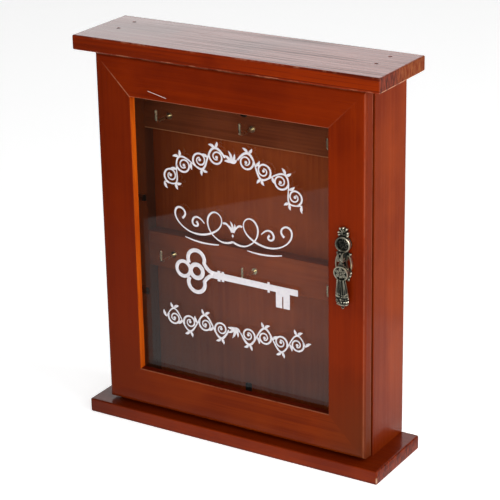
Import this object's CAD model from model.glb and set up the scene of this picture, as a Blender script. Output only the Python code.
import bmesh
import bpy
import math
from mathutils import Matrix, Vector


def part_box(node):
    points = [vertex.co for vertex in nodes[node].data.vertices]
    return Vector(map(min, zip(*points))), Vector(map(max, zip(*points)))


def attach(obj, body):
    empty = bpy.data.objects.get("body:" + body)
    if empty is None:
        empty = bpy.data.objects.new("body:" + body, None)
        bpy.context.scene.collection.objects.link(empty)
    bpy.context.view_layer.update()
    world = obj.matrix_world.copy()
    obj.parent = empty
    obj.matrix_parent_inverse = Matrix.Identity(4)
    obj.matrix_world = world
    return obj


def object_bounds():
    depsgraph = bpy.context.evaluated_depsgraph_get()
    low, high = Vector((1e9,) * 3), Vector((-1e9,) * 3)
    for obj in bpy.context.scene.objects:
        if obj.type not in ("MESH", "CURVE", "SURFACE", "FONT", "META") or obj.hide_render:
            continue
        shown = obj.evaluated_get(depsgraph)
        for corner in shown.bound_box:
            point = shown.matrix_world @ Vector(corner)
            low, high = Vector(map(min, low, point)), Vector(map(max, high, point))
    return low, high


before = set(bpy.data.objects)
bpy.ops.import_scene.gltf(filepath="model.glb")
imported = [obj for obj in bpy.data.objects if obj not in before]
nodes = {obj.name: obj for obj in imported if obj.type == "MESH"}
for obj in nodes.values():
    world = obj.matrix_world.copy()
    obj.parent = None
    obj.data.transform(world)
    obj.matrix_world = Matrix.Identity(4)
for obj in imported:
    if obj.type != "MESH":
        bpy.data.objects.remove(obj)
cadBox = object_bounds()
mm = 0.001
print("frame loaded with", len(nodes), "nodes")


# Small helpers for node trees

class Tree:
    # Builds one material: every call adds a node and links what it is given
    def __init__(self, name):
        self.material = bpy.data.materials.new(name)
        self.material.use_nodes = True
        self.nodes = self.material.node_tree.nodes
        self.links = self.material.node_tree.links
        self.nodes.clear()
        self.place = self.add("ShaderNodeTexCoord").outputs["Object"]

    def add(self, kind, inputs=None, **settings):
        node = self.nodes.new(kind)
        for key, value in settings.items():
            setattr(node, key, value)
        for key, value in (inputs or {}).items():
            if isinstance(value, bpy.types.NodeSocket):
                self.links.new(value, node.inputs[key])
            else:
                node.inputs[key].default_value = value
        return node

    def math(self, operation, *values):
        return self.add("ShaderNodeMath", dict(enumerate(values)), operation=operation).outputs[0]

    def mapped(self, scale, offset=(0, 0, 0)):
        settings = {"Vector": self.place, "Scale": scale, "Location": offset}
        return self.add("ShaderNodeMapping", settings).outputs[0]

    def noise(self, vector, detail=3.0, rough=0.5, scale=1.0, warp=0.0):
        settings = {"Vector": vector, "Scale": scale, "Detail": detail, "Roughness": rough, "Distortion": warp}
        return self.add("ShaderNodeTexNoise", settings).outputs["Fac"]

    def cloud(self, scale, detail=3.0, rough=0.5, offset=(0, 0, 0)):
        # Noise of the same size along every axis
        return self.noise(self.mapped((scale, scale, scale), offset), detail, rough)

    def span(self, value, low, high, start=0.0, end=1.0, smooth=False):
        # Maps low..high to start..end, clamped
        kind = "SMOOTHSTEP" if smooth else "LINEAR"
        settings = {"Value": value, "From Min": low, "From Max": high, "To Min": start, "To Max": end}
        return self.add("ShaderNodeMapRange", settings, interpolation_type=kind).outputs[0]

    def mix(self, share, first, second):
        node = self.add("ShaderNodeMix", data_type="RGBA")
        for index, value in ((0, share), (6, first), (7, second)):
            if isinstance(value, bpy.types.NodeSocket):
                self.links.new(value, node.inputs[index])
            elif index:
                node.inputs[index].default_value = (*value[:3], 1.0)
            else:
                node.inputs[index].default_value = value
        return node.outputs[2]

    def bump(self, height, distance, strength):
        settings = {"Height": height, "Distance": distance, "Strength": strength}
        return self.add("ShaderNodeBump", settings).outputs[0]

    def axis(self, letter):
        return self.add("ShaderNodeSeparateXYZ", {"Vector": self.place}).outputs[letter]

    def surface(self, inputs):
        shader = self.add("ShaderNodeBsdfPrincipled", inputs)
        self.finish(shader.outputs[0])
        return self.material

    def finish(self, shader):
        self.add("ShaderNodeOutputMaterial", {"Surface": shader})


def addObject(name, data):
    made = bpy.data.objects.new(name, data)
    bpy.context.collection.objects.link(made)
    return made


# Camera

cameraSettings = {
    "place": (0.66862, -1.08438, 0.63229),
    "turn": 31.579,
    "tilt": -20.910,
    "roll": -1.026,
    "lens": 134.243,
    "sensor": 36.0,
    "reach": 20.0,
}


def makeCamera(settings):
    data = bpy.data.cameras.new("viewCamera")
    data.lens = settings["lens"]
    data.sensor_width = settings["sensor"]
    data.clip_end = settings["reach"]
    camera = addObject("viewCamera", data)
    aim = Matrix.Rotation(math.radians(settings["turn"]), 4, "Z")
    aim = aim @ Matrix.Rotation(math.radians(90 + settings["tilt"]), 4, "X")
    aim = aim @ Matrix.Rotation(math.radians(settings["roll"]), 4, "Z")
    camera.matrix_world = Matrix.Translation(settings["place"]) @ aim
    bpy.context.scene.camera = camera


makeCamera(cameraSettings)
print("camera placed")


# Studio: pale floor, large soft lights, and cards that only the gloss sees

studioSettings = {
    "floorSize": 9.0,
    "floorColor": (0.90, 0.90, 0.90),
    "floorGlow": 0.60,
    "paperRoughness": 0.9,
    "worldColor": (1.0, 1.0, 1.0),
    "worldStrength": 0.14,
    "aimPoint": (0.0, 0.0, 0.15),
    "lights": [
        {"name": "topSoftbox", "place": (0.1, 0.7, 2.3), "size": (2.6, 2.6), "power": 15.5},
        {"name": "sideSoftbox", "place": (1.0, -0.10, 0.5), "size": (0.6, 0.7), "power": 8.0},
        {"name": "frontSoftbox", "place": (0.45, -1.7, 0.9), "size": (0.9, 0.9), "power": 8.0},
        {"name": "nearSoftbox", "place": (0.55, -0.65, 0.45), "size": (0.4, 0.5), "power": 1.8},
        {"name": "backSheen", "place": (-0.9, 1.6, 0.85), "size": (3.0, 1.3), "power": 33.5, "glossOnly": True},
    ],
    "cardStart": -0.06,  # the near and far cards begin this far along Y
    "cardEdge": ((-0.335, -0.387), (-0.234, -0.535)),  # two points of the slanting edge between them
    "cardLift": 0.0006,
    "cards": {
        # Glow, or low and high place along Y with the glow at each
        "nearCard": (-0.42, -0.09, 0.21, 0.47),
        "farCard": 0.01,
        "rearCard": 0.25,
        "footCard": 0.66,
    },
    "spans": {
        "rearCard": ((0.13, 0.24), (2.2, 2.6)),
        "footCard": ((0.13, -0.06), (2.2, 0.24)),
    },
    "wall": {"radius": 4.4, "height": 7.0, "foot": -0.5, "segments": 96, "glow": 0.84},
}


def makePaper(name, color, roughness, glow):
    # glow is a strength, or a pair of places along Y and the strengths there
    paper = Tree(name)
    if isinstance(glow, tuple):
        glow = paper.span(paper.axis("Y"), *glow)
    return paper.surface({
        "Base Color": (*color, 1),
        "Roughness": roughness,
        "Specular IOR Level": 0.0,
        "Emission Color": (1, 1, 1, 1),
        "Emission Strength": glow,
    })


def makeSheet(name, corners, height, color, roughness, glow):
    bm = bmesh.new()
    bm.faces.new([bm.verts.new((x, y, height)) for x, y in corners])
    mesh = bpy.data.meshes.new(name)
    bm.to_mesh(mesh)
    bm.free()
    mesh.materials.append(makePaper(name + "Paper", color, roughness, glow))
    sheet = addObject(name, mesh)
    return sheet


def makeCard(name, corners, settings):
    # A glowing sheet that only glossy surfaces see
    card = makeSheet(
        name, corners, settings["cardLift"], (0, 0, 0), settings["paperRoughness"], settings["cards"][name])
    card.visible_camera = False
    card.visible_diffuse = False
    card.visible_transmission = False
    card.visible_shadow = False


def makeWall(settings):
    # A pale round wall far behind everything, which only the camera sees
    middle = settings["foot"] + settings["height"] / 2
    bm = bmesh.new()
    bmesh.ops.create_cone(
        bm, cap_ends=False, segments=settings["segments"], radius1=settings["radius"],
        radius2=settings["radius"], depth=settings["height"], matrix=Matrix.Translation((0, 0, middle)))
    bmesh.ops.reverse_faces(bm, faces=bm.faces)
    mesh = bpy.data.meshes.new("wall")
    bm.to_mesh(mesh)
    bm.free()
    mesh.materials.append(makePaper("wallPaper", (0, 0, 0), 1.0, settings["glow"]))
    wall = addObject("wall", mesh)
    wall.visible_diffuse = False
    wall.visible_glossy = False
    wall.visible_transmission = False
    wall.visible_shadow = False


def makeLight(light, aimPoint):
    data = bpy.data.lights.new(light["name"], "AREA")
    data.shape = "RECTANGLE"
    data.size, data.size_y = light["size"]
    data.energy = light["power"]
    lamp = addObject(light["name"], data)
    aim = (Vector(aimPoint) - Vector(light["place"])).to_track_quat("-Z", "Y")
    lamp.matrix_world = Matrix.Translation(light["place"]) @ aim.to_matrix().to_4x4()
    lamp.visible_diffuse = not light.get("glossOnly", False)


def makeStudio(settings):
    half = settings["floorSize"] / 2
    square = [(-half, -half), (half, -half), (half, half), (-half, half)]
    makeSheet("floor", square, 0.0, settings["floorColor"], settings["paperRoughness"], settings["floorGlow"])
    # The near card lies in front of the cabinet, the far one beyond the slanting edge
    start = settings["cardStart"]
    (x0, y0), (x1, y1) = settings["cardEdge"]
    slope = (y1 - y0) / (x1 - x0)
    leftX = x0 + (start - y0) / slope
    rightX = x0 + (-half - y0) / slope
    makeCard("nearCard", [(leftX, start), (rightX, -half), (half, -half), (half, start)], settings)
    makeCard("farCard", [(leftX, start), (-half, start), (-half, -half), (rightX, -half)], settings)
    for name, ((x0, y0), (x1, y1)) in settings["spans"].items():
        makeCard(name, [(x0, y0), (x1, y0), (x1, y1), (x0, y1)], settings)
    makeWall(settings["wall"])
    world = bpy.data.worlds.new("studio")
    world.use_nodes = True
    background = world.node_tree.nodes["Background"]
    background.inputs["Color"].default_value = (*settings["worldColor"], 1)
    background.inputs["Strength"].default_value = settings["worldStrength"]
    bpy.context.scene.world = world
    for light in settings["lights"]:
        makeLight(light, settings["aimPoint"])
    bpy.context.scene.view_settings.view_transform = "Standard"


makeStudio(studioSettings)
print("studio lit")


# Stained and lacquered wood

woodSettings = {
    "light": (0.212, 0.0185, 0.0005),
    "middle": (0.172, 0.0138, 0.0004),
    "dark": (0.126, 0.0088, 0.0003),
    "grain": (5.0, 330.0),  # noise scale along the grain and across it
    "pores": (80.0, 2300.0),
    "blotches": 17.0,
    "bandScale": 0.10,
    "bandShare": 0.28,
    "blotchShares": (0.55, 0.30),  # how far blotches pull the tone to light and to dark
    "poreShare": 0.6,
    "bump": (0.00010, 0.6),
    "roughness": (0.30, 0.44),
    "specular": 0.02,
    "coatWeight": 0.14,
    "coatRoughness": 0.12,
    "coatLines": 0.0,
}

topLook = {
    "light": (0.250, 0.0215, 0.0006),
    "middle": (0.195, 0.0150, 0.0004),
    "dark": (0.118, 0.0075, 0.0003),
    "coatWeight": 0.41,
    "coatLines": 0.24,
}

footLook = {
    "light": (0.230, 0.0240, 0.0008),
    "middle": (0.185, 0.0175, 0.0006),
    "dark": (0.125, 0.0100, 0.0004),
    "coatWeight": 0.19,
}

sideLook = {
    "light": (0.245, 0.0350, 0.0032),
    "middle": (0.205, 0.0265, 0.0022),
    "dark": (0.155, 0.0160, 0.0012),
    "specular": 0.06,
    "coatWeight": 0.19,
}

lowRailLook = {
    "light": (0.215, 0.0270, 0.0010),
    "middle": (0.180, 0.0205, 0.0007),
    "dark": (0.130, 0.0125, 0.0005),
}

innerLook = {
    "light": (0.315, 0.058, 0.0110),
    "middle": (0.255, 0.043, 0.0075),
    "dark": (0.205, 0.029, 0.0048),
    "coatRoughness": 0.25,
}

hookRailLook = {
    "light": (0.22, 0.048, 0.014),
    "middle": (0.17, 0.036, 0.011),
    "dark": (0.11, 0.020, 0.006),
    "coatRoughness": 0.25,
}


def grainScale(axis, along, across):
    return tuple(along if letter == axis else across for letter in "XYZ")


def makeWood(name, axis, offset, changes, steps):
    # axis is the way the grain runs, and offset makes each board's figure its own
    settings = {**woodSettings, **changes}
    tree = Tree(name)
    grain = tree.mapped(grainScale(axis, *settings["grain"]), offset)
    pores = tree.mapped(grainScale(axis, *settings["pores"]), offset)
    streak = tree.noise(grain, 6.0, 0.66, warp=0.3)
    band = tree.noise(grain, 2.0, 0.5, scale=settings["bandScale"], warp=0.6)
    blotch = tree.cloud(settings["blotches"], offset=offset)
    share = settings["bandShare"]
    figure = tree.math("MULTIPLY_ADD", streak, 1 - share, tree.math("MULTIPLY", band, share))
    toLight, toDark = settings["blotchShares"]
    tone = tree.mix(tree.span(figure, 0.36, 0.60, smooth=True), settings["dark"], settings["middle"])
    tone = tree.mix(tree.span(figure, 0.50, 0.72), tone, settings["light"])
    tone = tree.mix(tree.span(blotch, 0.38, 0.62, 0.0, toLight, smooth=True), tone, settings["light"])
    tone = tree.mix(tree.span(blotch, 0.56, 0.36, 0.0, toDark), tone, settings["dark"])
    poreMask = tree.span(tree.noise(pores, 2.0), 0.58, 0.72, 0.0, settings["poreShare"])
    tone = tree.mix(poreMask, tone, settings["dark"])
    for step in steps:
        tone = step(tree, tone)
    glossy, matt = settings["roughness"]
    coat = settings["coatWeight"]
    if settings["coatLines"]:
        # The lacquer sinks into the open grain, so it shines less along those lines
        coat = tree.math("MULTIPLY_ADD", openGrain(tree), -settings["coatLines"], coat)
    return tree.surface({
        "Base Color": tone,
        "Roughness": tree.span(streak, 0.3, 0.7, matt, glossy),
        "IOR": 1.5,
        "Specular IOR Level": settings["specular"],
        "Coat Weight": coat,
        "Coat Roughness": settings["coatRoughness"],
        "Normal": tree.bump(tree.math("SUBTRACT", streak, poreMask), *settings["bump"]),
    })


# Masks. A pair of widths says how far from a place a mask is full, and where it ends.

def near(tree, letter, place, widths):
    full, end = widths
    gap = tree.math("ABSOLUTE", tree.math("SUBTRACT", tree.axis(letter), place))
    return tree.span(gap, end, full)


def both(tree, *masks):
    # Full only where every mask is
    shared = masks[0]
    for mask in masks[1:]:
        shared = tree.math("MULTIPLY", shared, mask)
    return shared


def patchy(tree, scale, low, high):
    # Breaks a worn line into patches
    return tree.span(tree.cloud(scale, 3.0, 0.6), low, high)


# Slow changes of the stain along one axis, measured from the cabinet's left, front and foot

fadeSettings = {
    # Axis, start, end, shares there, and the stain that is mixed in
    "boardLeft": ("X", 0.005, 0.125, 0.45, 0.0, (0.100, 0.0085, 0.0007)),
    "boardRight": ("X", 0.125, 0.245, 0.0, 0.65, (0.275, 0.0250, 0.0006)),
    "footLeft": ("X", 0.0, 0.055, 0.40, 0.0, (0.060, 0.0080, 0.0010)),
    "stileFoot": ("Z", 0.025, 0.110, 0.75, 0.0, (0.160, 0.0205, 0.0012)),
    "sideFoot": ("Z", 0.012, 0.070, 0.50, 0.0, (0.110, 0.0090, 0.0006)),
    "sideTop": ("Z", 0.240, 0.289, 0.0, 0.16, (0.105, 0.0085, 0.0006)),
    "sideFront": ("Y", 0.0215, 0.0475, 0.42, 0.0, (0.105, 0.0085, 0.0006)),
}


def placeAt(letter, distance):
    # A place on an axis, this far from the cabinet's low side
    return cadBox[0]["XYZ".index(letter)] + distance


def fade(name):
    # A step that tints a board along one axis
    letter, start, end, first, last, color = fadeSettings[name]

    def step(tree, tone):
        place = tree.axis(letter)
        share = tree.span(place, placeAt(letter, start), placeAt(letter, end), first, last, smooth=True)
        return tree.mix(share, tone, color)

    return step


# Top and bottom boards: open grain, end grain and rubbed or knocked edges

paleWood = (0.52, 0.21, 0.11)

boardSettings = {
    # share is how strongly a color is mixed in, and patch the noise scale and span of patchy
    "openGrain": {"scale": (6, 560, 560), "offset": (0.4, 0.2, 0.1), "span": (0.485, 0.575),
                  "reach": (0.005, 0.205, 0.30, 1.0), "share": 0.7, "color": (0.045, 0.004, 0.002)},
    "endDepth": (0.0010, 0.0003),
    "endFront": (0.0175, 0.0375),
    "topEnd": {"scale": (1, 520, 120), "rough": 0.65, "warmSpan": (0.42, 0.60), "coldSpan": (0.40, 0.58),
               "warm": ((0.140, 0.020, 0.004), (0.215, 0.060, 0.018)),
               "cold": ((0.060, 0.015, 0.010), (0.190, 0.036, 0.018))},
    "footEnd": {"scale": (1, 420, 160), "rough": 0.6, "span": (0.40, 0.62),
                "colors": ((0.060, 0.0050, 0.0008), (0.178, 0.0190, 0.0015))},
    "footTop": {"depth": (0.0008, 0.0002), "share": 0.42, "color": (0.065, 0.0050, 0.0005)},
    "footArris": {"front": (0.0008, 0.0016), "left": (0.0008, 0.0020), "under": (0.0007, 0.0018),
                  "share": 0.60, "color": (0.050, 0.0045, 0.0006)},
    "chip": {"edge": (0.0005, 0.0012), "height": 0.0034, "length": (0.0014, 0.0026),
             "patch": (900, 0.30, 0.5), "color": (0.46, 0.27, 0.17)},
    "frontEdges": {"widths": (0.0006, 0.0012), "patch": (130, 0.50, 0.66), "share": 0.45},
    "endArris": {"out": (0.0006, 0.0012), "up": (0.0005, 0.0011), "patch": (150, 0.36, 0.52),
                 "color": (0.60, 0.30, 0.16)},
}


def openGrain(tree):
    # Fine lines along the top board, stronger towards its right end
    look = boardSettings["openGrain"]
    lines = tree.noise(tree.mapped(look["scale"], look["offset"]), 3.0, 0.65)
    start, end, first, last = look["reach"]
    rise = tree.span(tree.axis("X"), placeAt("X", start), placeAt("X", end), first, last)
    return both(tree, tree.span(lines, *look["span"]), rise)


def boardLines(tree, tone):
    look = boardSettings["openGrain"]
    return tree.mix(both(tree, openGrain(tree), look["share"]), tone, look["color"])


def endMask(tree):
    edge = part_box("top_board")[1][0]
    inner, outer = boardSettings["endDepth"]
    return tree.span(tree.math("ABSOLUTE", tree.axis("X")), edge - inner, edge - outer)


def topEnds(tree, tone):
    # End grain drinks more stain: purple-brown streaks in front, warmer behind
    look = boardSettings["topEnd"]
    streaks = tree.noise(tree.mapped(look["scale"]), 4.0, look["rough"])
    start, end = boardSettings["endFront"]
    back = tree.span(tree.axis("Y"), placeAt("Y", start), placeAt("Y", end), smooth=True)
    warm = tree.mix(tree.span(streaks, *look["warmSpan"]), *look["warm"])
    cold = tree.mix(tree.span(streaks, *look["coldSpan"]), *look["cold"])
    return tree.mix(endMask(tree), tone, tree.mix(back, cold, warm))


def footEnds(tree, tone):
    look = boardSettings["footEnd"]
    streaks = tree.noise(tree.mapped(look["scale"]), 4.0, look["rough"])
    return tree.mix(endMask(tree), tone, tree.mix(tree.span(streaks, *look["span"]), *look["colors"]))


def footTop(tree, tone):
    # The foot's upper face keeps more stain than its edges
    look = boardSettings["footTop"]
    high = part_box("bottom_board")[1][2]
    inner, outer = look["depth"]
    mask = tree.span(tree.axis("Z"), high - inner, high - outer, 0.0, look["share"])
    return tree.mix(mask, tone, look["color"])


def footArris(tree, tone):
    # Stain gathers along the foot's lower front arris and its left one
    look = boardSettings["footArris"]
    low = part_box("bottom_board")[0]
    front = near(tree, "Y", low[1], look["front"])
    left = both(tree, near(tree, "X", low[0], look["left"]), front)
    under = both(tree, near(tree, "Z", low[2], look["under"]), front)
    return tree.mix(both(tree, tree.math("MAXIMUM", left, under), look["share"]), tone, look["color"])


def cornerChip(tree, tone):
    # The front upright edge at the right end is knocked down to bare wood near its foot
    look = boardSettings["chip"]
    low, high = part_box("bottom_board")
    mask = both(
        tree, near(tree, "X", high[0], look["edge"]), near(tree, "Y", low[1], look["edge"]),
        near(tree, "Z", low[2] + look["height"], look["length"]), patchy(tree, *look["patch"]))
    return tree.mix(mask, tone, look["color"])


def frontEdges(tree, tone):
    # Rubbed arrises along the front of the top board, below and above
    look = boardSettings["frontEdges"]
    low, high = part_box("top_board")
    rubbed = patchy(tree, *look["patch"])
    front = near(tree, "Y", low[1], look["widths"])
    for edge in (low[2], high[2]):
        mask = both(tree, front, near(tree, "Z", edge, look["widths"]), rubbed, look["share"])
        tone = tree.mix(mask, tone, paleWood)
    return tone


def endArris(tree, tone):
    # The right end's lower edge is rubbed through
    look = boardSettings["endArris"]
    low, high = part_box("top_board")
    mask = both(
        tree, near(tree, "X", high[0], look["out"]), near(tree, "Z", low[2], look["up"]),
        patchy(tree, *look["patch"]))
    return tree.mix(mask, tone, look["color"])


# Door frame: mitre lines, orange reveal, rubbed arrises and one scratch

doorSettings = {
    "mitre": {"gap": (0.0002, 0.0009), "inward": (0.005, 0.024), "patch": (260, 0.25, 0.5),
              "left": 0.60, "right": 0.07},
    "reveal": {"widths": (0.0004, 0.0009), "depth": (0.0002, 0.0007), "grain": (300, 300, 18),
               "span": (0.35, 0.62), "colors": ((0.42, 0.055, 0.003), (0.60, 0.105, 0.004)),
               "dark": (0.085, 0.006, 0.0005)},
    "sightArris": {"widths": (0.0003, 0.0008), "patch": (110, 0.25, 0.5), "share": 0.40},
    "topArris": {"widths": (0.0005, 0.0011), "patch": (90, 0.32, 0.55), "share": 0.55},
    "stileArris": {"outer": (0.0005, 0.0012), "share": 0.5, "color": (0.104, 0.0200, 0.0080),
                   "patch": (80, 0.28, 0.5), "front": (0.0008, 0.0014),
                   # Each line: inset, widths and share
                   "frontLine": (0.0012, (0.0001, 0.0006), 0.17),
                   "backLine": (0.0009, (0.0002, 0.0007), 0.16)},
    "lowRight": {"across": (0.195, 0.235), "up": (0.085, 0.035), "share": 0.50,
                 "color": (0.075, 0.0200, 0.0060)},
    "scratch": {"start": (0.0450, 0.0066), "end": (0.0615, 0.0030), "widths": (0.000102, 0.000272),
                "taper": 0.001, "depth": (0.0003, 0.0006), "color": (0.74, 0.60, 0.54)},
}


def mitreLine(hand):
    # A step that draws the fine pale joint line in from one upper corner of the door
    look = doorSettings["mitre"]
    low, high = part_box("door_top_rail")
    cornerX, slope = (low[0], -1.0) if hand == "left" else (high[0], 1.0)

    def step(tree, tone):
        across = tree.math("SUBTRACT", tree.axis("X"), cornerX)
        up = tree.math("SUBTRACT", tree.axis("Z"), high[2])
        gap = tree.math("ABSOLUTE", tree.math("MULTIPLY_ADD", across, -slope, up))
        thin, wide = look["gap"]
        inward = tree.span(tree.math("ABSOLUTE", across), *look["inward"])
        mask = both(tree, tree.span(gap, wide, thin), inward, patchy(tree, *look["patch"]), look[hand])
        return tree.mix(mask, tone, paleWood)

    return step


def behindFront(tree, low):
    # All but the rounded front edge of the frame
    start, end = doorSettings["reveal"]["depth"]
    return tree.span(tree.axis("Y"), low[1] + start, low[1] + end)


def sideReveal(tree, tone):
    # The left stile's inner edge took the stain thinly and shows orange
    look = doorSettings["reveal"]
    low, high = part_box("door_left_stile")
    mask = both(tree, near(tree, "X", high[0], look["widths"]), behindFront(tree, low))
    grain = tree.noise(tree.mapped(look["grain"]), 4.0, 0.6)
    return tree.mix(mask, tone, tree.mix(tree.span(grain, *look["span"]), *look["colors"]))


def lowReveal(tree, tone):
    look = doorSettings["reveal"]
    low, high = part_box("door_bottom_rail")
    mask = both(tree, near(tree, "Z", high[2], look["widths"]), behindFront(tree, low))
    return tree.mix(mask, tone, look["dark"])


def sightArris(tree, tone):
    # The rails' front edges along the glass are rubbed to a fine pale line
    look = doorSettings["sightArris"]
    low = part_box("door_top_rail")[0]
    front = near(tree, "Y", low[1], look["widths"])
    rubbed = patchy(tree, *look["patch"])
    for edge in (low[2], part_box("door_bottom_rail")[1][2]):
        mask = both(tree, front, near(tree, "Z", edge, look["widths"]), rubbed, look["share"])
        tone = tree.mix(mask, tone, paleWood)
    return tone


def topArris(tree, tone):
    look = doorSettings["topArris"]
    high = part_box("door_top_rail")[1]
    mask = both(tree, near(tree, "Z", high[2], look["widths"]), patchy(tree, *look["patch"]), look["share"])
    return tree.mix(mask, tone, paleWood)


def stileArris(tree, tone):
    # The right stile's outer edge is duller, with two faint rubbed lines down it
    look = doorSettings["stileArris"]
    low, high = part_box("door_right_stile")
    outer = near(tree, "X", high[0], look["outer"])
    tone = tree.mix(both(tree, outer, look["share"]), tone, look["color"])
    rubbed = patchy(tree, *look["patch"])
    inset, widths, share = look["frontLine"]
    front = both(tree, near(tree, "X", high[0] - inset, widths), near(tree, "Y", low[1], look["front"]))
    tone = tree.mix(both(tree, front, rubbed, share), tone, paleWood)
    inset, widths, share = look["backLine"]
    back = both(tree, near(tree, "Y", high[1] - inset, widths), outer)
    return tree.mix(both(tree, back, rubbed, share), tone, paleWood)


def lowRight(tree, tone):
    # The door's lower right corner is a little greyer and darker
    look = doorSettings["lowRight"]
    across = tree.span(tree.axis("X"), *(placeAt("X", place) for place in look["across"]))
    up = tree.span(tree.axis("Z"), *(placeAt("Z", place) for place in look["up"]))
    return tree.mix(both(tree, across, up, look["share"]), tone, look["color"])


def railScratch(tree, tone):
    # One thin scratch through the lacquer, low on the left of the top rail
    look = doorSettings["scratch"]
    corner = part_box("door_top_rail")[0]
    (startX, startZ), (endX, endZ) = look["start"], look["end"]
    length = math.hypot(endX - startX, endZ - startZ)
    runX, runZ = (endX - startX) / length, (endZ - startZ) / length
    across = tree.math("SUBTRACT", tree.axis("X"), corner[0] + startX)
    up = tree.math("SUBTRACT", tree.axis("Z"), corner[2] + startZ)
    travel = tree.math("MULTIPLY_ADD", across, runX, tree.math("MULTIPLY", up, runZ))
    drift = tree.math("MULTIPLY_ADD", across, -runZ, tree.math("MULTIPLY", up, runX))
    thin, wide = look["widths"]
    mask = both(
        tree, tree.span(tree.math("ABSOLUTE", drift), wide, thin), tree.span(travel, 0.0, look["taper"]),
        tree.span(travel, length, length - look["taper"]), near(tree, "Y", corner[1], look["depth"]))
    return tree.mix(mask, tone, look["color"])


# Inside: dark inner faces, a shaded hinge side, and a lit lip on the upper hook rail

innerSettings = {
    "sideFace": {"depth": (0.0010, 0.0003), "share": 0.80, "color": (0.045, 0.021, 0.012)},
    "shade": {"across": (0.040, 0.095), "depth": (0.0008, 0.0003), "share": 0.36,
              "color": (0.055, 0.022, 0.012)},
    "lip": {"up": (0.0004, 0.0011), "front": (0.0010, 0.0020), "share": 0.6, "color": (0.60, 0.24, 0.10)},
}


def innerFace(tree, tone):
    # Inside, the sides are stained nearly black-brown
    look = innerSettings["sideFace"]
    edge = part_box("right_side")[0][0]
    outer, inner = look["depth"]
    place = tree.math("ABSOLUTE", tree.axis("X"))
    return tree.mix(tree.span(place, edge + outer, edge + inner, 0.0, look["share"]), tone, look["color"])


def innerShade(tree, tone):
    # The inside is stained darker towards its hinge side
    look = innerSettings["shade"]
    start, end = look["across"]
    shade = tree.span(tree.axis("X"), placeAt("X", start), placeAt("X", end), look["share"], 0.0, smooth=True)
    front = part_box("back_panel")[0][1]
    back, face = look["depth"]
    inside = tree.span(tree.axis("Y"), front + back, front + face)
    return tree.mix(both(tree, shade, inside), tone, look["color"])


def railLip(tree, tone):
    # The upper hook rail's lower edge catches the light
    look = innerSettings["lip"]
    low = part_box("upper_hook_rail")[0]
    lip = both(tree, near(tree, "Z", low[2], look["up"]), near(tree, "Y", low[1], look["front"]))
    return tree.mix(both(tree, lip, look["share"]), tone, look["color"])


painted = set()


def paint(name, material):
    slots = nodes[name].data.materials
    slots.clear()
    slots.append(material)
    painted.add(name)


sideSteps = (fade("sideFoot"), fade("sideTop"), fade("sideFront"), innerFace)

boards = [
    # Node, material, grain axis, figure, look, and the steps that tint it in order
    ("top_board", "topBoardWood", "X", (0.3, 0.1, 0.7), topLook,
     (fade("boardLeft"), fade("boardRight"), boardLines, frontEdges, topEnds, endArris)),
    ("bottom_board", "bottomBoardWood", "X", (1.3, 2.1, 0.2), footLook,
     (fade("boardLeft"), footTop, footEnds, footArris, fade("footLeft"), cornerChip)),
    ("left_side", "leftSideWood", "Z", (2.2, 0.4, 0.1), sideLook, sideSteps),
    ("right_side", "rightSideWood", "Z", (3.7, 1.4, 2.1), sideLook, sideSteps),
    ("door_top_rail", "topRailWood", "X", (4.1, 0.2, 3.3), {},
     (mitreLine("left"), mitreLine("right"), topArris, sightArris, railScratch)),
    ("door_bottom_rail", "bottomRailWood", "X", (5.9, 1.2, 0.6), lowRailLook,
     (fade("boardLeft"), lowRight, lowReveal, sightArris)),
    ("door_left_stile", "leftStileWood", "Z", (6.6, 3.2, 1.1), {},
     (fade("stileFoot"), fade("boardLeft"), mitreLine("left"), sideReveal)),
    ("door_right_stile", "rightStileWood", "Z", (7.4, 0.9, 2.4), {},
     (fade("stileFoot"), lowRight, mitreLine("right"), stileArris)),
    ("back_panel", "backPanelWood", "Z", (8.3, 1.9, 0.8), innerLook, (innerShade,)),
    ("lower_hook_rail", "lowerRailWood", "X", (9.1, 0.7, 1.7), innerLook, (innerShade,)),
    ("upper_hook_rail", "upperRailWood", "X", (2.9, 2.6, 0.4), hookRailLook, (innerShade, railLip)),
]

for node, name, axis, offset, look, steps in boards:
    paint(node, makeWood(name, axis, offset, look, steps))
print("wood finished")


# Metals

metalSettings = {
    "clouds": (260, 4.0, 0.55),  # noise scale, detail and roughness
    "specks": (1500, 2.0),
    "brighten": 0.35,
    "bump": (0.00002, 0.4),
    "brass": {"bright": (0.90, 0.80, 0.56), "dull": (0.62, 0.50, 0.30), "roughness": (0.20, 0.38)},
    "steel": {"bright": (0.62, 0.62, 0.61), "dull": (0.36, 0.35, 0.33), "roughness": (0.25, 0.42)},
    "darkSteel": {"bright": (0.040, 0.036, 0.033), "dull": (0.016, 0.014, 0.013), "roughness": (0.45, 0.6)},
}

bronzeSettings = {
    "bright": (0.86, 0.80, 0.62),
    "dull": (0.010, 0.011, 0.008),
    "roughness": (0.28, 0.55),
    "metallic": (0.35, 1.0),
    "specular": 0.25,
    "clouds": (420, 4.0, 0.6),
    "specks": (2600, 2.0),
    "bump": (0.00003, 0.5),
    "edgeWidth": 0.0012,
    "hollowWidth": 0.0016,
    "hollowSpan": (0.45, 0.90),
    "cloudShare": 0.26,
    "cloudOffset": 0.13,
    "rubbedSpan": (0.20, 0.42),
    # The cup of the backplate keeps its black on the left
    "cupDrop": 0.01275,
    "cupReach": (0.0048, 0.0068),
    "cupSides": (0.0036, -0.0010),
    "cupBlack": 0.22,
    # The crown round the pendant's foot is picked out in bright flecks
    "crownHeight": 0.01257,
    "crownBlend": 0.0006,
    "flecks": (750, 1.0, 0.4, (0.3, 0.6, 0.2)),
    "fleckSpan": (0.40, 0.60, -0.6, 1.0),
    "crownFlecks": 0.30,
}


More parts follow.
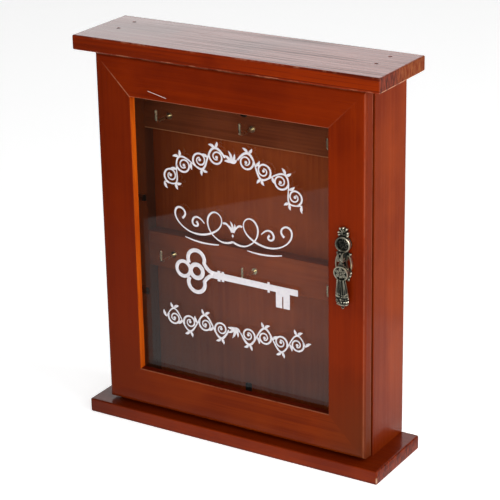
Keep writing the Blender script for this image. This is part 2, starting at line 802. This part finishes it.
def makeMetal(name):
    settings = metalSettings[name]
    tree = Tree(name)
    cloud = tree.cloud(*metalSettings["clouds"])
    speck = tree.cloud(*metalSettings["specks"])
    glossy, matt = settings["roughness"]
    tone = tree.mix(tree.span(cloud, 0.38, 0.62), settings["dull"], settings["bright"])
    return tree.surface({
        "Base Color": tree.mix(metalSettings["brighten"], tone, settings["bright"]),
        "Metallic": 1.0,
        "Roughness": tree.span(cloud, 0.35, 0.65, matt, glossy),
        "Normal": tree.bump(speck, *metalSettings["bump"]),
    })


def cupMask(tree, settings):
    low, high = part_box("pull_backplate")
    middle = (low[0] + high[0]) / 2
    bright, black = settings["cupSides"]
    side = tree.span(tree.axis("X"), middle + bright, middle + black)
    return both(tree, near(tree, "Z", high[2] - settings["cupDrop"], settings["cupReach"]), side)


def crownFlecks(tree, settings):
    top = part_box("pull_pendant")[0][2] + settings["crownHeight"]
    crown = tree.span(tree.axis("Z"), top + settings["crownBlend"], top)
    return both(tree, crown, tree.span(tree.cloud(*settings["flecks"]), *settings["fleckSpan"]))


def makeAntiqueBronze(name, settings):
    # Nearly black, rubbed bright along the edges and on what stands proud
    tree = Tree(name)
    inner = tree.add("ShaderNodeAmbientOcclusion", {"Distance": settings["edgeWidth"]}, samples=12, inside=True)
    outer = tree.add("ShaderNodeAmbientOcclusion", {"Distance": settings["hollowWidth"]}, samples=12)
    edge = tree.math("SUBTRACT", 1.0, inner.outputs["AO"])
    edge = both(tree, edge, tree.span(outer.outputs["AO"], *settings["hollowSpan"]))
    cloud = tree.cloud(*settings["clouds"])
    speck = tree.cloud(*settings["specks"])
    rubbed = tree.math("SUBTRACT", edge, settings["cloudOffset"])
    rubbed = tree.math("MULTIPLY_ADD", cloud, settings["cloudShare"], rubbed)
    rubbed = tree.math("MULTIPLY_ADD", cupMask(tree, settings), -settings["cupBlack"], rubbed)
    rubbed = tree.math("MULTIPLY_ADD", crownFlecks(tree, settings), settings["crownFlecks"], rubbed)
    mask = tree.span(rubbed, *settings["rubbedSpan"], smooth=True)
    glossy, matt = settings["roughness"]
    return tree.surface({
        "Base Color": tree.mix(mask, settings["dull"], settings["bright"]),
        "Metallic": tree.span(mask, 0.0, 0.5, *settings["metallic"]),
        "Specular IOR Level": settings["specular"],
        "Roughness": tree.span(mask, 0.0, 1.0, matt, glossy),
        "Normal": tree.bump(speck, *settings["bump"]),
    })


def paintMetals():
    # Every node that is neither wood nor glass
    brass, steel, darkSteel = (makeMetal(name) for name in ("brass", "steel", "darkSteel"))
    bronze = makeAntiqueBronze("antiqueBronze", bronzeSettings)
    for name in nodes:
        if name in painted or name == "glass_pane":
            continue
        if "key_hook" in name or "hinge" in name:
            paint(name, brass)
        elif "glazing_clip" in name or "nails" in name:
            paint(name, darkSteel)
        elif name.startswith("pull_") and name not in ("pull_washer", "pull_nut"):
            paint(name, bronze)
        else:
            paint(name, steel)


paintMetals()
print("metals finished")


# Glass: a clear pane that lets the lamps through

glassSettings = {"tint": (0.975, 0.988, 0.983), "headOn": 0.043, "falloff": 5.0}


def makeGlass(settings):
    # Both faces mirror a share that grows towards grazing, and pass the rest straight through
    tree = Tree("clearGlass")
    slant = tree.add("ShaderNodeLayerWeight", {"Blend": 0.5}).outputs["Facing"]
    grazing = tree.math("POWER", slant, settings["falloff"])
    share = tree.math("MULTIPLY_ADD", grazing, 1 - settings["headOn"], settings["headOn"])
    clear = tree.add("ShaderNodeBsdfTransparent", {"Color": (*settings["tint"], 1)}).outputs[0]
    mirror = tree.add("ShaderNodeBsdfAnisotropic", {"Color": (1, 1, 1, 1), "Roughness": 0.0}).outputs[0]
    tree.finish(tree.add("ShaderNodeMixShader", {0: share, 1: clear, 2: mirror}).outputs[0])
    return tree.material


paint("glass_pane", makeGlass(glassSettings))
print("glass finished")


# White print on the front of the glass: a skeleton key between scrolled vines.
# Its places are measured from the middle of the pane.

printSettings = {
    "color": (0.76, 0.72, 0.74),
    "worn": (0.66, 0.62, 0.66),
    "wear": (300, 4.0, 0.6),  # noise scale, detail and roughness
    "wearSpan": (0.42, 0.75),
    "roughness": 0.55,
    "bump": (0.00003, 0.3),
    "depth": 0.00012,
    "flatten": 0.05,  # the pen's round line is pressed almost flat, as ink is
    "weld": 1e-7,
}

vineSettings = {
    "arch": {"centre": (0.0, -0.0061), "radius": 0.0775, "start": 0.0052, "unit": 0.0150, "rise": 0.0072},
    "row": {"height": -0.0619, "start": 0.0052, "unit": 0.0137, "rise": 0.0078},
    "waves": 4,
    "stem": 0.00094,
    "stemTaper": 0.45,
    "stemSwell": (0.72, 0.38),  # share of the pen where the wave crosses, and what its crest adds
    "stemSteps": 12,
    "curl": 0.00074,
    "curlMiddle": (0.47, 0.06),
    "curlSteps": 30,
    "curlTurns": (28, 500),  # where a curl starts and how far it turns, in degrees
    "curlReach": (0.43, 0.30, 0.85),
    "curlPen": (1.1, 0.5),
    "bud": {"drop": 0.02, "radius": 0.0004, "pen": 0.0009, "end": 300, "steps": 5},
    "leaf": (0.0052, 0.00118),
    "leafShape": ((0.0, 0.18), (0.2, 0.62), (0.45, 1.0), (0.7, 0.78), (0.88, 0.38), (1.0, 0.08)),
    "leafBend": 0.5,
    "leafLean": 0.75,
    "cornerLeaf": {"place": 0.98, "turn": 38, "size": 1.15},
    "palmette": {"size": 0.0092, "root": 0.35, "width": 0.13,
                 "leaves": ((0, 1.0), (34, 0.86), (-34, 0.86), (68, 0.66), (-68, 0.66))},
}

# Strokes of the pen flourish, in mm, with the pen's press at each point
flourishSettings = {
    "height": 0.0084,
    "thin": 0.00034,
    "thick": 0.00088,
    "strokes": [
        ([(0, 0), (6, -3), (14, -1), (21, 6), (22, 16), (15, 22), (8, 17), (10, 8), (20, 2), (31, 0),
          (42, 3), (50, 11), (49, 19), (42, 20), (39, 14), (43, 11)],
         [1, .8, .2, .4, 1, .5, .1, .5, 1, .7, .2, .6, 1, .6, .8, 1.1]),
        ([(1.0, 7), (2.6, 12), (6.2, 14.5), (8.0, 12.5)], [.1, .7, 1, .9]),
        ([(24, 10), (29, 16), (36, 12), (33, 5), (28, 8), (31, 10.5)], [.1, .8, 1, .7, .8, 1.1]),
        ([(12, -4.5), (22, -6), (32, -5.5), (41, -3)], [.1, .8, .8, .1]),
    ],
    "leaves": {"root": 7, "width": 1.0, "turns": ((90, 9.0), (62, 7.5), (118, 7.5))},
    "lozenge": {"heights": (3.1, 4.6, 6.1), "pens": (0.00006, 0.00093, 0.00006)},
}

# The key, in mm from its line
keySettings = {
    "line": -0.0203,
    "rings": ((-43.4, 5.85, 1.45), (-31.8, 5.2, 1.75)),  # place, radius and half width
    "ringSteps": 48,
    "lobe": {"centre": (-32.1, 9.3), "radius": 7.1, "start": 212, "end": -18, "steps": 34, "half": 1.6,
             "neck": ((-23.4, 4.3), (-20.6, 2.0), (-17.2, 0.8))},
    "over": [(-20.0, 2.7), (-13.8, 2.6), (-13.8, 3.9), (-11.4, 3.9), (-11.4, 2.5), (-10.2, 2.5), (-10.2, 3.7),
             (-8.2, 3.7), (-8.2, 2.4), (28.6, 1.8), (28.6, 3.3), (30.4, 3.3), (30.4, 1.7), (53.8, 1.5)],
    "under": [(53.8, -3.3), (47.0, -3.2), (47.0, -14.9), (41.7, -14.9), (41.7, -5.9), (40.7, -5.9),
              (40.7, -14.9), (35.5, -14.9), (35.5, -3.2), (30.4, -3.1), (30.4, -4.8), (28.6, -4.8),
              (28.6, -3.1), (-8.2, -2.8), (-8.2, -4.1), (-10.2, -4.1), (-10.2, -2.8), (-11.4, -2.8),
              (-11.4, -4.3), (-13.8, -4.3), (-13.8, -2.8), (-20.0, -2.8)],
}


def addStroke(curve, points, widths, smooth=False, closed=False):
    # One pen stroke: points are (x, z) on the glass and widths the pen's half widths there
    spline = curve.splines.new("NURBS" if smooth else "POLY")
    spline.points.add(len(points) - 1)
    for point, (x, z), width in zip(spline.points, points, widths):
        point.co = (x, 0, z, 1)
        point.radius = width
    spline.use_cyclic_u = closed
    if smooth:
        spline.order_u = 4
        spline.use_endpoint_u = True
        spline.resolution_u = 7


def arcPoints(centre, radius, start, end, steps):
    turns = [math.radians(start + (end - start) * i / steps) for i in range(steps + 1)]
    return [(centre[0] + radius * math.cos(a), centre[1] + radius * math.sin(a)) for a in turns]


def addLeaf(curve, bend, root, turn, length, width):
    # A pointed leaf that swells from its root, laid along turn in the vine's own plane
    points, widths = [], []
    for share, swell in vineSettings["leafShape"]:
        angle = turn + vineSettings["leafBend"] * (share - 0.5)
        out = length * share
        points.append(bend(root[0] + out * math.cos(angle), root[1] + out * math.sin(angle)))
        widths.append(width * swell)
    addStroke(curve, points, widths)


def addStem(curve, bend, place, hand, settings):
    unit, rise, waves = place["unit"], place["rise"], settings["waves"]
    low, more = settings["stemSwell"]
    stem, pens = [], []
    steps = waves * settings["stemSteps"]
    for i in range(steps + 1):
        share = i / steps
        swing = math.sin(math.pi * share * waves)
        stem.append(bend(hand * (place["start"] + share * waves * unit), rise * swing))
        pens.append(settings["stem"] * (1.0 - settings["stemTaper"] * share) * (low + more * abs(swing)))
    addStroke(curve, stem, pens)


def addCurl(curve, bend, centre, side, hand, unit, settings):
    # A spiral with a bud in its middle
    steps = settings["curlSteps"]
    start, turned = settings["curlTurns"]
    wide, narrowing, power = settings["curlReach"]
    press, ease = settings["curlPen"]
    curl, pens = [], []
    for k in range(steps + 1):
        share = k / steps
        angle = math.radians(start - turned * share)
        radius = unit * (wide - narrowing * share ** power)
        across, up = radius * math.cos(angle), radius * math.sin(angle)
        curl.append(bend(hand * (centre[0] + across), centre[1] + side * up))
        pens.append(settings["curl"] * (press - ease * share))
    addStroke(curve, curl, pens)
    bud = settings["bud"]
    middle = bend(hand * centre[0], centre[1] - side * unit * bud["drop"])
    ring = arcPoints(middle, bud["radius"], 0, bud["end"], bud["steps"])
    addStroke(curve, ring, [bud["pen"]] * len(ring), closed=True)


def addVine(curve, bend, place, hand, settings):
    # A running scroll: the stem waves along, and each wave curls back into a spiral
    start, unit, rise = place["start"], place["unit"], place["rise"]
    length, width = settings["leaf"]
    corner = settings["cornerLeaf"]
    shift, lift = settings["curlMiddle"]
    addStem(curve, bend, place, hand, settings)
    for i in range(settings["waves"]):
        side = 1 if i % 2 == 0 else -1
        addCurl(curve, bend, (start + (i + shift) * unit, side * rise * lift), side, hand, unit, settings)
        # Leaves outside the wave, and one in the corner where the stem crosses over
        crest = (hand * (start + (i + 0.5) * unit), side * rise)
        for lean in (settings["leafLean"], -settings["leafLean"]):
            addLeaf(curve, bend, crest, side * math.pi / 2 - side * lean * hand, length, width)
        root = (hand * (start + (i + corner["place"]) * unit), 0.0)
        turn = side * math.radians(90 - hand * corner["turn"])
        addLeaf(curve, bend, root, turn, length * corner["size"], width)


def addPalmette(curve, bend, settings):
    size = settings["size"]
    for turn, reach in settings["leaves"]:
        root = (0.0, -size * settings["root"])
        addLeaf(curve, bend, root, math.radians(90 + turn), size * reach, size * settings["width"])


def addFlourish(curve, settings):
    # The same both ways from the middle: a loop, a wave and a curled tail
    thin, thick = settings["thin"], settings["thick"]
    for points, presses in settings["strokes"]:
        for hand in (1, -1):
            placed = [(hand * x * mm, settings["height"] + z * mm) for x, z in points]
            addStroke(curve, placed, [thin + (thick - thin) * press for press in presses], smooth=True)
    leaves, lozenge = settings["leaves"], settings["lozenge"]
    root = (0.0, settings["height"] + leaves["root"] * mm)
    for turn, reach in leaves["turns"]:
        addLeaf(curve, lambda x, z: (x, z), root, math.radians(turn), reach * mm, leaves["width"] * mm)
    addStroke(curve, [(0.0, settings["height"] + z * mm) for z in lozenge["heights"]], lozenge["pens"])


def addBow(curve, settings):
    # The key's handle: a small ring, a middle ring and two lobes that run down into the shank
    line, lobe = settings["line"], settings["lobe"]
    for centre, radius, half in settings["rings"]:
        ring = arcPoints((centre * mm, line), radius * mm, 0, 360, settings["ringSteps"])[:-1]
        addStroke(curve, ring, [half * mm] * len(ring), closed=True)
    x, z = lobe["centre"]
    for hand in (1, -1):
        centre = (x * mm, line + hand * z * mm)
        points = arcPoints(centre, lobe["radius"] * mm, lobe["start"] * hand, lobe["end"] * hand, lobe["steps"])
        points += [(neckX * mm, line + hand * neckZ * mm) for neckX, neckZ in lobe["neck"]]
        addStroke(curve, points, [lobe["half"] * mm] * len(points))


def addShank(bm, settings, depth):
    # Shank, collars and bit cut as one plate from a single outline
    line = settings["line"]
    ring = [bm.verts.new((x * mm, -depth / 2, line + z * mm)) for x, z in settings["over"] + settings["under"]]
    face = bm.faces.new(ring)
    made = bmesh.ops.extrude_face_region(bm, geom=[face])["geom"]
    bmesh.ops.translate(bm, verts=[v for v in made if isinstance(v, bmesh.types.BMVert)], vec=(0, depth, 0))


def drawPrint():
    curve = bpy.data.curves.new("glassPrint", "CURVE")
    curve.dimensions = "3D"
    curve.bevel_depth = 1.0
    curve.bevel_resolution = 2
    curve.use_fill_caps = True
    addBow(curve, keySettings)
    arch, row = vineSettings["arch"], vineSettings["row"]

    def bendArch(u, v):
        swing = u / arch["radius"]
        reach = arch["radius"] + v
        return arch["centre"][0] + reach * math.sin(swing), arch["centre"][1] + reach * math.cos(swing)

    def bendRow(u, v):
        return u, row["height"] - v

    for bend, place in ((bendArch, arch), (bendRow, row)):
        for hand in (1, -1):
            addVine(curve, bend, place, hand, vineSettings)
        addPalmette(curve, bend, vineSettings["palmette"])
    addFlourish(curve, flourishSettings)
    drawn = addObject("glassPrint", curve)
    bpy.context.view_layer.update()
    mesh = bpy.data.meshes.new_from_object(drawn.evaluated_get(bpy.context.evaluated_depsgraph_get()))
    bpy.data.objects.remove(drawn)
    return mesh


def makePrint(settings):
    mesh = drawPrint()
    bm = bmesh.new()
    bm.from_mesh(mesh)
    bmesh.ops.scale(bm, verts=bm.verts, vec=(1, settings["flatten"], 1))
    bmesh.ops.remove_doubles(bm, verts=bm.verts, dist=settings["weld"])
    addShank(bm, keySettings, settings["depth"])
    bmesh.ops.recalc_face_normals(bm, faces=bm.faces)
    low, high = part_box("glass_pane")
    middle = ((low[0] + high[0]) / 2, low[1] - settings["depth"] / 2, (low[2] + high[2]) / 2)
    bmesh.ops.translate(bm, verts=bm.verts, vec=middle)
    bm.to_mesh(mesh)
    bm.free()
    tree = Tree("whitePrint")
    wear = tree.cloud(*settings["wear"])
    mesh.materials.clear()
    mesh.materials.append(tree.surface({
        "Base Color": tree.mix(tree.span(wear, *settings["wearSpan"]), settings["color"], settings["worn"]),
        "Roughness": settings["roughness"],
        "Normal": tree.bump(wear, *settings["bump"]),
    }))
    piece = addObject("glassPrint", mesh)
    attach(piece, "door")


makePrint(printSettings)
print("glass printed")

print("sizes written")
